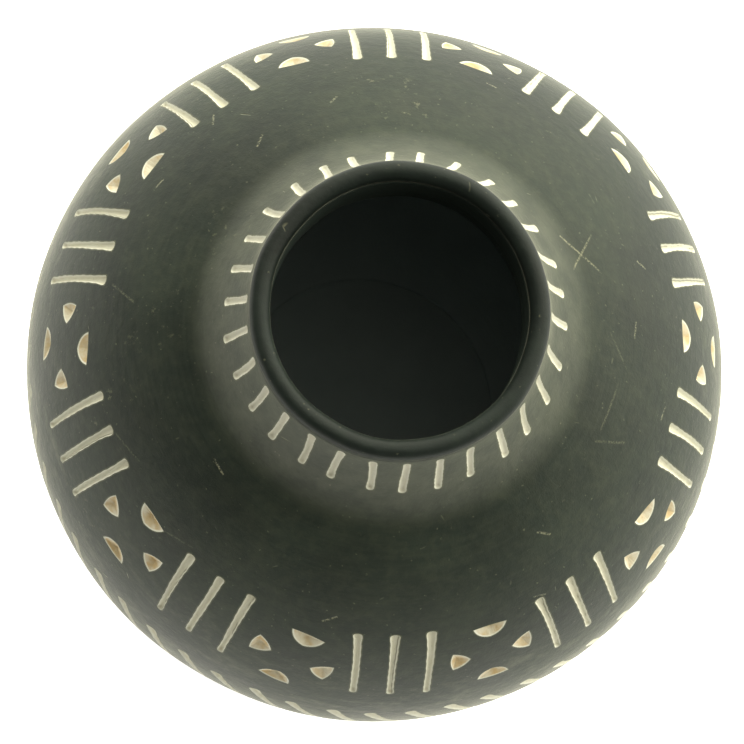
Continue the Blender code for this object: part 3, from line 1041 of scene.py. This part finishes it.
def surface_line(azimuth, latitude, slant, reach):
    """The two ends of a short line on the wall, slanted from level, which reaches so far either way."""
    middle = body_spot(azimuth, latitude)
    level = Vector((-math.sin(math.radians(azimuth)), math.cos(math.radians(azimuth)), 0.0))
    uphill = (body_spot(azimuth, latitude + 1) - body_spot(azimuth, latitude - 1)).normalized()
    half = (level * math.cos(math.radians(slant)) + uphill * math.sin(math.radians(slant))) * reach
    return middle - half, middle + half


def star_lines():
    """The crossed scratches beside the neck."""
    return [surface_line(STAR_AZIMUTH, STAR_LATITUDE, slant, STAR_REACH) for slant in STAR_SLANTS]


def scattered_lines(count, reach):
    """Scratches of about one length scattered over the upper shoulder."""
    draw = np.random.default_rng(count)
    lines = []
    for _ in range(count):
        azimuth, slant = draw.uniform(0, 360), draw.uniform(0, 180)
        latitude = draw.uniform(*NICK_LATITUDES)
        lines.append(surface_line(azimuth, latitude, slant, reach * draw.uniform(0.6, 1.2)))
    return lines


def body_spot(azimuth, latitude):
    """The point of the outer wall at an azimuth and a latitude."""
    radius, height = body_points(np.array([latitude]))[0]
    turn = math.radians(azimuth)
    return Vector((radius * math.cos(turn), radius * math.sin(turn), height))


def stroke_mask(paint, place, start, end, width):
    """1 near the straight line between two points and 0 beyond width from it."""
    span = end - start
    offset = paint.node("VectorMath", 0, {"operation": "SUBTRACT"}, _0=place, _1=tuple(start))
    scaled = tuple(span / span.length_squared)
    reach = paint.node("VectorMath", 1, {"operation": "DOT_PRODUCT"}, _0=offset, _1=scaled)
    reach = paint.ramp(reach, 0.0, 1.0)
    nearest = paint.node("VectorMath", 0, {"operation": "SCALE"}, _0=tuple(span), Scale=reach)
    gap = paint.node("VectorMath", 1, {"operation": "DISTANCE"}, _0=offset, _1=nearest)
    return paint.ramp(gap, width * 0.3, width, 1.0, 0.0)


def scratches(paint, place):
    """Thin straight scratches here and there, as a mask."""
    total = None
    for turn, scale in ((0.4, 90.0), (1.7, 120.0), (2.6, 75.0)):
        rotated = paint.node("VectorRotate", 0, Vector=place, Angle=turn, Axis=(0.3, 0.4, 0.85))
        stretched = paint.node("VectorMath", 0, {"operation": "MULTIPLY"}, _0=rotated, _1=(1.0, 0.05, 1.0))
        edge = paint.node("TexVoronoi", 0, {"feature": "DISTANCE_TO_EDGE"}, Vector=stretched, Scale=scale)
        where = paint.ramp(paint.noise(place, 55.0 + scale, 2.0), 0.70, 0.76)
        line = paint.times(paint.ramp(edge, 0.004, 0.012, 1.0, 0.0), where)
        total = line if total is None else paint.math("MAXIMUM", total, line)
    return total


def inner_paint():
    """Bare clay inside the pot, with the slip running in over the throat."""
    paint = Paint("inner_clay")
    place = paint.place()
    height = paint.node("SeparateXYZ", 2, Vector=place)
    cloud = paint.noise(place, 60.0, 4.0, 0.6)
    turned = paint.noise(paint.wheel_place(0.7, 420.0), 1.5, 3.0, 0.6)
    bare = paint.mix(cloud, INNER_DARK, INNER_LIGHT)
    edge = paint.plus(height, paint.times(cloud, 0.012))
    base = paint.mix(paint.ramp(edge, SLIP_RUN_HEIGHT - 0.004, SLIP_RUN_HEIGHT + 0.004), bare, THROAT_SLIP)
    relief = paint.bump(turned, 0.0004, 0.6)
    relief = paint.bump(paint.noise(place, 900.0), 0.0001, 0.6, relief)
    return paint.finish(Base_Color=base, Roughness=0.85, Normal=relief, Specular_IOR_Level=0.12)


def clay_paint():
    """The pale clay laid bare on the faces of the cuts: paler at the rim, a painted highlight along the
    cut's edge, and tan in the depth, painted shade inside the cut.
    """
    paint = Paint("bare_clay")
    place = paint.place()
    seed, depth = paint.fact("seed"), paint.fact("depth")
    sideways, run = paint.fact("sideways"), paint.fact("run")
    local = paint.vector(paint.times(sideways, 1400.0), paint.times(run, 220.0), paint.times(seed, 90.0))
    streak = paint.noise(local, 1.0, 4.0, 0.6)
    crumb = paint.noise(place, CRUMB_SCALE, 3.0, 0.65)
    patch = paint.noise(place, PATCH_SCALE, 3.0, 0.6)
    # Painted shade and highlight: the clay turns tan towards the floor of each cut, broken up by streaks,
    # and stays paler cream at the rim.
    deep = paint.times(paint.ramp(depth, 0.15, 0.62), paint.ramp(streak, 0.30, 0.62, 0.45, 1.0))
    chip = paint.fact("chip")
    base = paint.mix(deep, CREAM_CLAY_RIM_HIGHLIGHT, paint.mix(paint.fact("pale"), TAN_CLAY_DEEP_SHADE, PALE_CLAY_DEEP_SHADE))
    # Warm tan patches on the chips' facets, kept off the rim so that its painted highlight stays pale.
    warm = paint.times(paint.ramp(patch, 0.40, 0.66, 0.25, 1.0), chip)
    warm = paint.times(warm, paint.ramp(depth, 0.22, 0.36, 0.0, 0.90))
    base = paint.mix(warm, base, WARM_CLAY)
    # Painted shadow: a broken dark line of dusty slip colour inside one wall of some long strokes, where
    # that wall shades the cut.
    across = paint.fact("across")
    cut_wall_shadow = paint.times(paint.ramp(across, 0.34, 0.46), paint.ramp(across, 0.78, 0.66))
    cut_wall_shadow = paint.times(cut_wall_shadow, paint.ramp(paint.plus(streak, seed), 1.16, 1.26))
    cut_wall_shadow = paint.times(cut_wall_shadow, paint.ramp(paint.fact("pale"), 0.0, 1.0, 0.5, 0.0))
    base = paint.mix(cut_wall_shadow, base, SLIP_DUST_AND_CUT_SHADOW)
    base = paint.mix(paint.times(paint.ramp(crumb, 0.64, 0.72), 0.35), base, CUT_HALO)
    relief = paint.bump(streak, 0.00022, 0.7)
    relief = paint.bump(crumb, 0.00010, 0.7, relief)
    return paint.finish(Base_Color=base, Roughness=0.82, Normal=relief, Specular_IOR_Level=0.25)


def stage_paint():
    """The pale paper that the pot stands on."""
    paint = Paint("studio_paper")
    tone = paint.noise(paint.place(), 30.0, 2.0)
    base = paint.mix(tone, PAPER_DARK, PAPER_LIGHT)
    return paint.finish(Base_Color=base, Roughness=0.9, Emission_Color=WHITE,
                        Emission_Strength=FLOOR_GLOW)


# Studio


def studio():
    """The floor, the sky and the one soft lamp."""
    bpy.ops.mesh.primitive_plane_add(size=FLOOR_SIZE, location=(0, 0, 0))
    floor = bpy.context.object
    floor.name = "studio_floor"
    floor.data.materials.append(stage_paint())
    scene = bpy.context.scene
    scene.view_settings.view_transform = "Standard"
    world = bpy.data.worlds.new("studio_sky")
    world.use_nodes = True
    scene.world = world
    sky(world.node_tree)
    softbox("key_light", KEY_AZIMUTH, KEY_ELEVATION, KEY_DISTANCE, KEY_SIZE, KEY_POWER)


def sky(tree):
    """Bright low down on the lit side, paler round the rest of the horizon and dim overhead."""
    nodes = Nodes(tree)
    place = nodes.node("TexCoord", 0)
    facing = nodes.node("VectorMath", 1, {"operation": "DOT_PRODUCT"}, _0=place,
                        _1=tuple(direction(SKY_AZIMUTH, SKY_ELEVATION)))
    lobe = nodes.ramp(facing, SKY_LOBE_EDGE, 1.0, 0.0, SKY_BRIGHT, "SMOOTHSTEP")
    height = nodes.node("SeparateXYZ", 2, Vector=place)
    band = nodes.ramp(height, 0.0, SKY_BAND_TOP, SKY_HORIZON, SKY_OVERHEAD)
    background = nodes.node("Background", 0, Color=LIGHT_TINT, Strength=nodes.plus(lobe, band))
    nodes.node("OutputWorld", 0, Surface=background)


def direction(azimuth, elevation):
    """The unit vector towards an azimuth and elevation in degrees."""
    turn, rise = math.radians(azimuth), math.radians(elevation)
    return Vector((math.cos(turn) * math.cos(rise), math.sin(turn) * math.cos(rise), math.sin(rise)))


def softbox(name, azimuth, elevation, distance, size, power):
    """A broad lamp that faces the pot's belly."""
    light = bpy.data.lights.new(name, "AREA")
    light.shape = "RECTANGLE"
    light.size, light.size_y = size
    light.energy = power
    light.color = LIGHT_TINT[:3]
    lamp = bpy.data.objects.new(name, light)
    bpy.context.scene.collection.objects.link(lamp)
    towards = direction(azimuth, elevation)
    lamp.location = Vector((0, 0, EQUATOR_HEIGHT)) + towards * distance
    lamp.rotation_euler = towards.to_track_quat("Z", "Y").to_euler()


def camera():
    """Looks down at the pot from near overhead, turned about its line of sight."""
    tilt, roll = math.radians(CAMERA_ELEVATION), math.radians(CAMERA_ROLL)
    back = Vector((0, -math.cos(tilt), math.sin(tilt)))
    side, up = Vector((1, 0, 0)), Vector((0, math.sin(tilt), math.cos(tilt)))
    right = side * math.cos(roll) + up * math.sin(roll)
    over = up * math.cos(roll) - side * math.sin(roll)
    data = bpy.data.cameras.new("camera")
    data.lens = CAMERA_LENS
    data.sensor_width = 36.0
    data.shift_x, data.shift_y = CAMERA_SHIFT
    viewer = bpy.data.objects.new("camera", data)
    turn = Matrix((right, over, back)).transposed().to_4x4()
    viewer.matrix_world = Matrix.Translation(Vector((0, 0, EQUATOR_HEIGHT)) + back * CAMERA_DISTANCE) @ turn
    bpy.context.scene.collection.objects.link(viewer)
    bpy.context.scene.camera = viewer


def build():
    """The six pieces of the pot, its floor, light and camera."""
    slip = slip_paint("dark_slip_paint", SLIP_DARK, SLIP_LIGHT, SLIP_DUST_AND_CUT_SHADOW, 0.50, 0.25)
    lip_slip = slip_paint("burnished_lip_paint", LIP_DARK, LIP_LIGHT, SLIP_LIGHT, 0.44, 0.18, carved=False)
    inner_slip = inner_paint()
    foot_clay = slip_paint("foot_clay_paint", SLIP_LIGHT, SLIP_DUST_AND_CUT_SHADOW, PALE_SPECK, 0.6, 0.3, carved=False)
    clay = clay_paint()
    shoulder_piece(slip, clay, inner_slip)
    collar_piece(slip, clay, inner_slip)
    bowl_piece(slip, inner_slip)
    rim_piece(lip_slip)
    floor_piece(inner_slip)
    foot_piece(foot_clay)
    studio()
    camera()


build()
